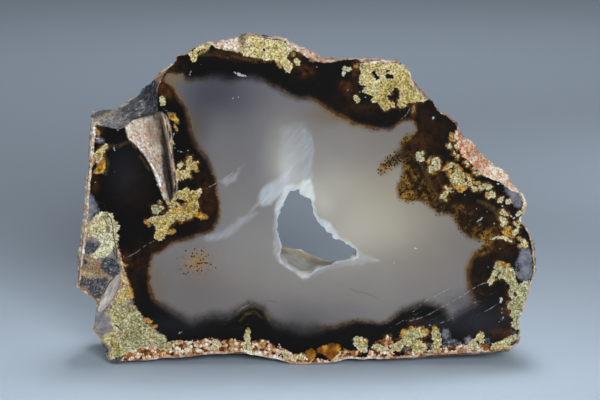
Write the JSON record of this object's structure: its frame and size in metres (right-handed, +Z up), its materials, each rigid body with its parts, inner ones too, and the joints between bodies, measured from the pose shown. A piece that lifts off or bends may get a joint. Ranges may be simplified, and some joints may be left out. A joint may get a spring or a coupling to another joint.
{
  "type": "agate slice",
  "caption": "Thick slice of natural agate with a polished face, rough natural rim and an open central cavity, standing on its lower edge.",
  "frame": {"origin": "middle of the slice's bounding box in X and Y, at the level of the surface that it stands on", "axes": "+X to the right along the polished face as seen from in front of it, +Y from the polished face to the sawn back, +Z up as it stands"},
  "size_m": [0.0925, 0.02, 0.0671],
  "materials": {
    "chalcedony": "polished"
  },
  "bodies": {
    "root": {"agate": "chalcedony"}
  },
  "joints": []
}
